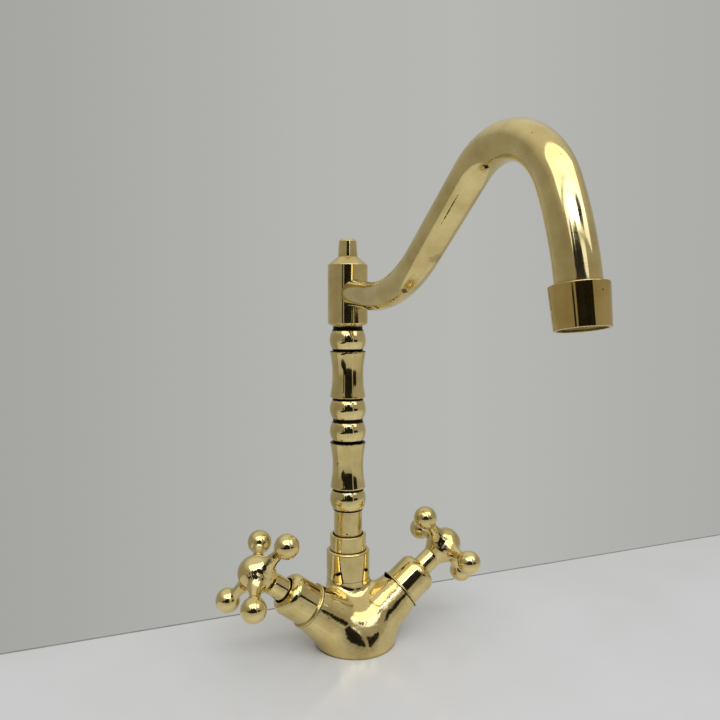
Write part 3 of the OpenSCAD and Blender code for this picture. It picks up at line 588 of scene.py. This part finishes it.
socket_low, socket_high = (level[2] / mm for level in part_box("swivel_socket"))
socket_r, gland_r, gland_high, gland_thread_h = 16.65, 13.9, 78.8, 7
gland_bore_r, thread_r, thread_gap = 11.5, 12.55, 0.1
turn_piece("socket", [(thread_r, socket_low), (socket_r, socket_low, 0.4),
                      (socket_r, socket_high, 1.6), (thread_r, socket_high)],
           column_frame(), turned_brass, "mixer_body", ["swivel_socket"])
turn_piece("gland", [(gland_bore_r, socket_high - gland_thread_h),
                     (thread_r - thread_gap, socket_high - gland_thread_h),
                     (thread_r - thread_gap, socket_high), (gland_r, socket_high, 0.35),
                     (gland_r, gland_high, 0.7), (gland_bore_r, gland_high, 0.5)],
           column_frame(), turned_brass, "mixer_body", ["gland_nut"])

# The column
# Beads and spools turned from bar and threaded over the riser's thin upper part, clamped by the
# head. The grooves between them hold the polisher's black wax, with painted shade in them too.
bead_r, bead_h, land_r, bore_r = 13.8, 16.8, 11.3, 7.55
spool_h, rim_r, waist_r, lip, spool_foot = 35.7, 13.5, 11.8, 1.6, 1.1


def arc(centre_r, centre_h, radius, start, end, steps):
    angles = [math.radians(start + (end - start) * k / steps) for k in range(steps + 1)]
    return [(centre_r + radius * math.cos(a), centre_h + radius * math.sin(a)) for a in angles]


def bead_outline():
    slope = math.degrees(math.acos(land_r / bead_r))
    ball = arc(0, bead_h / 2, bead_r, -slope, slope, 22)
    return [(bore_r, 0), (land_r, 0, 0.2)] + ball + [(land_r, bead_h, 0.2), (bore_r, bead_h)]


def spool_outline():
    sag, chord = rim_r - waist_r, spool_h - 2 * lip
    cove = (chord ** 2 / 4 + sag ** 2) / (2 * sag)
    reach = math.degrees(math.asin(chord / 2 / cove))
    waist = arc(waist_r + cove, spool_h / 2, cove, 180 + reach, 180 - reach, 26)
    foot = [(bore_r, 0), (rim_r - spool_foot, 0, 0.2), (rim_r, 1.0, 0.3)]
    return foot + waist + [(rim_r, spool_h, 0.6), (bore_r, spool_h)]


# The same turned brass, with wax left at both ends of a bead or a spool, and on one spool a pit
# that the mop opened.
bead_wax, spool_wax = (bead_h / 2, bead_h / 2 - 1.35), (spool_h / 2, spool_h / 2 - 0.25)
bead_brass = lathe_brass("mop polished bead brass", waxed=bead_wax)
spool_brass = lathe_brass("mop polished spool brass", waxed=spool_wax)
pitted_brass = lathe_brass("mop polished pitted spool brass", waxed=spool_wax,
                           flaws=[((-10.7, -5.8, 20.6), 0.7, 1.0, 1, 0)])
for node, corners, brass in (
        ("lower_bead", bead_outline(), bead_brass),
        ("middle_bead_low", bead_outline(), bead_brass),
        ("middle_bead_high", bead_outline(), bead_brass),
        ("upper_bead", bead_outline(), bead_brass),
        ("lower_spool", spool_outline(), pitted_brass),
        ("upper_spool", spool_outline(), spool_brass)):
    turn_piece("turned_" + node, corners, column_frame(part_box(node)[0][2] / mm), brass,
               "spout", [node])

# The spout head
# A heavy turned barrel with a cone, bored crosswise for the tube, and a plug screwed in on top.
# A narrow neck ring below it stands on the highest bead, black with wax at its foot and with
# painted shade under the barrel.
head_r, head_low, head_high, head_chamfer = 15.1, 239.0, 284.0, 1.5
ring_r, ring_low, cone_r, cone_high, cone_lip = 11.2, 236.3, 8.7, 290.2, 1
finial_r, finial_end_r, finial_high, finial_chamfer = 7.4, 6.6, 303.4, 1.6
plug_h, plug_r, plug_gap = 4, finial_r - 1, 0.1
head_brass = lathe_brass("mop polished head brass", waxed=(cone_high, cone_high - head_low + 1.2))
turn_piece("head", [(0, ring_low), (ring_r, ring_low, 0.2), (ring_r, head_low, 0.3),
                    (head_r - head_chamfer, head_low, 0.2),
                    (head_r, head_low + head_chamfer, 0.5), (head_r, head_high, 0.8),
                    (cone_r, cone_high - cone_lip, 0.4), (finial_r, cone_high), (0, cone_high)],
           column_frame(), head_brass, "spout", ["spout_head"])
turn_piece("finial", [(0, cone_high - plug_h), (plug_r, cone_high - plug_h),
                      (plug_r, cone_high - plug_gap), (finial_r, cone_high, 0.3),
                      (finial_end_r, finial_high - finial_chamfer, 0.5),
                      (finial_end_r - finial_chamfer, finial_high, 0.6), (0, finial_high)],
           column_frame(), turned_brass, "spout", ["finial_plug"])

# The spout tube
# Brass tube filled with sand and bent in three sweeps, brazed in the head and in the outlet's
# socket, then polished along its length. The bends left a few pitted and stained spots below.
root_level, first_heading, tube_r, tube_wall = 263.4, -5.0, 9.98, 1.2
station_step, tube_facets = 1.6, 96

# Each stretch is a straight run in mm, or a bend's radius in mm and its angle in degrees.
stretches = [(39.4, None), (112.5, 42.0), (63.8, None), (45.0, -104.0), (3.0, None),
             (181.0, -14.0), (3.8, None)]


def centre_line():
    """Stations along the tube: how far ahead, how far up, and the heading there."""
    ahead, up, heading = 0.0, 0.0, math.radians(first_heading)
    stations = [(ahead, up, heading)]
    for size, bend in stretches:
        length = size if bend is None else abs(math.radians(bend)) * size
        steps = max(2, math.ceil(length / station_step))
        turn = 0 if bend is None else math.radians(bend) / steps
        chord = length / steps if bend is None else 2 * size * math.sin(abs(turn) / 2)
        for _ in range(steps):
            ahead += chord * math.cos(heading + turn / 2)
            up += chord * math.sin(heading + turn / 2)
            heading += turn
            stations.append((ahead, up, heading))
    return stations


line = centre_line()
points, normals, faces = [], [], []
rings = [(station, tube_r, 1) for station in line]
rings += [(station, tube_r - tube_wall, -1) for station in reversed(line)]
for (ahead, up, heading), r, outward in rings:
    for i in range(tube_facets):
        a = 2 * math.pi * i / tube_facets
        normal = np.array([math.cos(a), math.sin(a) * math.sin(heading),
                           math.sin(a) * math.cos(heading)])
        points.append((np.array([0, column_y - ahead, root_level + up]) + normal * r) * mm)
        normals.append(normal * outward)
for j in range(len(rings)):
    k = (j + 1) % len(rings)
    for i in range(tube_facets):
        n = (i + 1) % tube_facets
        faces.append([j * tube_facets + i, j * tube_facets + n,
                      k * tube_facets + n, k * tube_facets + i])
mesh = bpy.data.meshes.new("tube_mesh")
mesh.from_pydata(points, [], faces)
mesh.polygons.foreach_set("use_smooth", [True] * len(faces))
mesh.normals_split_custom_set_from_vertices(normals)

# Drawn brass tube, mopped by hand: a little softer in its gloss, with stains on the bends and
# one long scratch on the rise.
tube_flaws = [((-4, -84.7, 261.4), 2.6, 0.8, 1, 0), ((-1.5, -81, 260.5), 1.5, 0.9, 1, 0),
              ((-3.8, -171.4, 319.5), 1.7, 1.0, 1, 0), ((1.7, -113.8, 279.0), 4.5, 0.3, 1, 0),
              ((-5.0, -95.0, 266.0), 2.4, 0.35, 1, 0),
              ((-6.4, -141.4, 302.5), 0.4, 0.9, 34, -37.6)]
tube_brass = polished_brass("polished drawn brass tube", False, 0.10, 26, 0.05,
                            (500, 500, 500), tube_flaws)
settle("tube", mesh, tube_brass, "spout", ["spout_tube"])

# The outlet
# A short tapered socket in turned brass, brazed on the tube's end and threaded inside for the
# aerator. It is polished with the tube, and water has tarnished it more.
outlet_h, outlet_grip, outlet_top_r, outlet_mouth_r = 18.8, 6.0, 12.8, 11.92
aerator_bore_r, aerator_stop, tube_bore_r, tube_seat_r = 10.45, 11.0, 8.8, 10.05
ahead, up, heading = line[-1]
down = np.array([0, -math.cos(heading), math.sin(heading)])
tube_end = np.array([0, column_y - ahead, root_level + up])
mouth_at = tube_end + down * (outlet_h - outlet_grip)
outlet_lean = np.column_stack([[1, 0, 0], np.cross(-down, [1, 0, 0]), -down])

# Turned brass that water has tarnished: a deeper, browner gold than the tube's.
outlet_brass = lathe_brass("mop polished outlet brass", tarnish=("#caad63", "#dcc17c"))
turn_piece("outlet", [(aerator_bore_r, 0, 0.2), (outlet_mouth_r, 0, 0.35),
                      (outlet_top_r, outlet_h, 0.45), (tube_seat_r, outlet_h),
                      (tube_seat_r, outlet_h - outlet_grip),
                      (tube_bore_r, outlet_h - outlet_grip), (tube_bore_r, aerator_stop),
                      (aerator_bore_r, aerator_stop)],
           (outlet_lean, mouth_at), outlet_brass, "spout", ["outlet_socket"])

# The bonnets
# Turned covers over the valves, with a thin flange that sits on the arm's end and a round
# shoulder with a hole for the handle's sleeve. Wax is left round the flange, and painted shade
# darkens the hole.
bonnet_r, flange_r, flange_t, bonnet_h, shoulder, hole_r = 15.3, 17.1, 1.8, 24.5, 6.1, 9.1
chamber_r, chamber_h, bonnet_thread_r, bonnet_thread_h = 13.4, 10.0, 9.95, 20.5
bonnet_brass = lathe_brass("mop polished bonnet brass", waxed=(bonnet_h, bonnet_h - 0.4))
for side, hand in ((-1, "hot"), (1, "cold")):
    lean, at = arm_frame(side)
    turn_piece(hand + "_cover", [(chamber_r, 0), (flange_r, 0, 0.5), (flange_r, flange_t, 0.8),
                                 (bonnet_r, flange_t, 0.3), (bonnet_r, bonnet_h, shoulder),
                                 (hole_r, bonnet_h, 0.5), (hole_r, bonnet_thread_h),
                                 (bonnet_thread_r, bonnet_thread_h),
                                 (bonnet_thread_r, chamber_h), (chamber_r, chamber_h)],
               (lean, at + lean[:, 2] * arm_face), bonnet_brass, "mixer_body",
               [hand + "_bonnet"])

# The cross handles
# Brass castings, each a sleeve, a bell shaped hub and four short arms with balls, polished
# less evenly than the turned pieces. Painted shade darkens the necks.
ball_plane, ball_reach, ball_r, ball_neck_r, dome_r, dome_up = 96.0, 32.6, 8.89, 4.0, 12.3, 1.7
hub_r, sleeve_r, sleeve_foot, hub_foot, hub_rim = 11.6, 8.2, 68.2, 83.5, 88.5
neck_at, root_at, swell = 21.9, 10.0, 3.8
grub_level, grub_r, grub_floor = 76.25, 2.05, 4.05
stem_melt, ball_melt, arm_melt = 1.5, 1.6, 2.2
handle_cell, handle_low, handle_high = 0.8, (-43, -43, 66), (43, 43, 112)


def handle_distance(p):
    """How far points on the bench, in mm, lie outside the handle."""
    wide = np.hypot(p[..., 0], p[..., 1])
    up = p[..., 2]
    dome = np.sqrt(wide ** 2 + (up - ball_plane - dome_up) ** 2) - dome_r
    taper = np.clip((up - hub_foot) / (hub_rim - hub_foot), 0, 1)
    flare = math.hypot(1, (hub_r - sleeve_r) / (hub_rim - hub_foot))
    stem = wide - sleeve_r - (hub_r - sleeve_r) * taper
    stem = stem / np.where((taper > 0) & (taper < 1), flare, 1)
    shape = melt(dome, np.maximum(stem, up - ball_plane), stem_melt)
    cove = ((neck_at - root_at) ** 2 + swell ** 2) / (2 * swell)
    for axis in (0, 1):
        along, off = np.abs(p[..., axis]), np.hypot(p[..., 1 - axis], up - ball_plane)
        back = np.clip(neck_at - along, 0, neck_at - root_at)
        arm = off - ball_neck_r - cove + np.sqrt(cove ** 2 - back ** 2)
        arm = np.maximum(arm, along - ball_reach)
        ball = np.hypot(along - ball_reach, off) - ball_r
        shape = melt(shape, melt(arm, ball, ball_melt), arm_melt)
    return shape


# The body's cast brass again, with smaller waves, and two stains by one arm's root.
handle_brass = polished_brass("mop polished handle brass", True, 0.085, 10, 0.16,
                              (500, 500, 500), [((-3.2, -22.4, 98.6), 2.3, 0.85, 1, 0),
                                                ((-4.2, -17.2, 98.8), 2.6, 0.5, 1, 0)])
handle_mesh = cast_skin("handle_mesh", handle_distance, handle_low, handle_high, handle_cell,
                        [((0, 0, sleeve_foot), (0, 0, -1))])
for side, hand, turn in ((-1, "hot", 60.3), (1, "cold", 189.2)):
    mesh = handle_mesh.copy()
    lean, at = arm_frame(side, turn)
    seat_mesh(mesh, lean, at)
    made = settle(hand + "_handle_casting", mesh, handle_brass, hand + "_handle",
                  [hand + "_cross_handle"])
    into = lean @ np.array([1, -1, 0]) / math.sqrt(2)
    outside = at + lean[:, 2] * grub_level - into * sleeve_r
    drilled(made, [(tuple(outside), tuple(into), grub_r, 0, sleeve_r - grub_floor)])
    keep_bench(made.data, lean, at)
    smooth(made.data)


# The inside parts
# Bought in or turned plainly, they keep the solids' own shapes. The riser's skirt shows between
# the gland and the lowest bead, the black base seal at the foot, and the aerator in the outlet.
def kept(names, material):
    for name in names:
        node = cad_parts[name]
        node.data.materials.clear()
        node.data.materials.append(material)
        smooth(node.data, 30)


def both(*names):
    return [hand + name for name in names for hand in ("hot_", "cold_")]


# Brass only rubbed with emery: duller and greyer than the polished pieces, with fine rings.
emery_brass = polished_brass("emery finished riser brass", False, 0.2, 20, 0.05,
                             (60, 60, 2200), [((-4.8, 5.4, 81.2), 0.7, 1.0, 1, 0)])
kept(["riser_tube"], emery_brass)

# Brass left from the tool: dull, with an even, very fine grain.
tool_brass = polished_brass("brass straight from the lathe", False, 0.22, 16, 0.04,
                            (900, 900, 900))
kept(both("valve_body", "spindle") + ["aerator_shell"], tool_brass)

# Moulded rubber: a soft black with a grey bloom and no shine.
rubber, tree = new_material("moulded black rubber")
place = add(tree, "ShaderNodeTexCoord").outputs["Object"]
bloom = add(tree, "ShaderNodeTexNoise", {"Vector": place, "Scale": 1 / (3 * mm), "Detail": 4.0})
tone = add(tree, "ShaderNodeValToRGB", {"Fac": bloom.outputs[0]},
           [(0.35, "#151515"), (0.7, "#2b2a29")])
skin_grain = add(tree, "ShaderNodeBump",
                 {"Height": bloom.outputs[0], "Strength": 0.5, "Distance": 0.02 * mm})
finish_with(tree, add(tree, "ShaderNodeBsdfPrincipled",
                      {"Base Color": tone, "Roughness": 0.6, "Normal": skin_grain}))
kept(both("valve_gasket", "seat_seal", "spindle_rings")
     + ["base_gasket", "packing_ring", "riser_o_ring", "aerator_washer"], rubber)

# Lapped alumina: white, very smooth, with faint grey marks from its twin.
ceramic, tree = new_material("lapped alumina ceramic")
place = add(tree, "ShaderNodeTexCoord").outputs["Object"]
rubbed = add(tree, "ShaderNodeTexNoise", {"Vector": place, "Scale": 1 / (4 * mm), "Detail": 5.0})
tone = add(tree, "ShaderNodeValToRGB", {"Fac": rubbed.outputs[0]},
           [(0.4, "#dcdcd8"), (0.7, "#efeeea")])
finish_with(tree, add(tree, "ShaderNodeBsdfPrincipled",
                      {"Base Color": tone, "Roughness": 0.18, "IOR": 1.76}))
kept(both("fixed_disc", "moving_disc"), ceramic)

# Stainless steel, blanked and tumbled: a cool grey with a fine frosted grain.
stainless, tree = new_material("tumbled stainless steel")
place = add(tree, "ShaderNodeTexCoord").outputs["Object"]
frost = add(tree, "ShaderNodeTexNoise",
            {"Vector": place, "Scale": 1 / (0.6 * mm), "Detail": 4.0})
tone = add(tree, "ShaderNodeValToRGB", {"Fac": frost.outputs[0]},
           [(0.35, "#7f8489"), (0.7, "#a4a8ab")])
gloss = add(tree, "ShaderNodeMapRange",
            {"Value": frost.outputs[0], "To Min": 0.25, "To Max": 0.45})
finish_with(tree, add(tree, "ShaderNodeBsdfPrincipled",
                      {"Base Color": tone, "Metallic": 1.0, "Roughness": gloss}))
kept(both("circlip", "grub_screw") + ["aerator_screen"], stainless)

# Moulded acetal: a milky white with a low sheen.
acetal, tree = new_material("moulded white acetal")
place = add(tree, "ShaderNodeTexCoord").outputs["Object"]
flow = add(tree, "ShaderNodeTexNoise", {"Vector": place, "Scale": 1 / (6 * mm), "Detail": 2.0})
tone = add(tree, "ShaderNodeValToRGB", {"Fac": flow.outputs[0]},
           [(0.35, "#dedcd4"), (0.7, "#e9e8e2")])
finish_with(tree, add(tree, "ShaderNodeBsdfPrincipled", {"Base Color": tone, "Roughness": 0.38}))
kept(["swivel_washer", "aerator_core"], acetal)
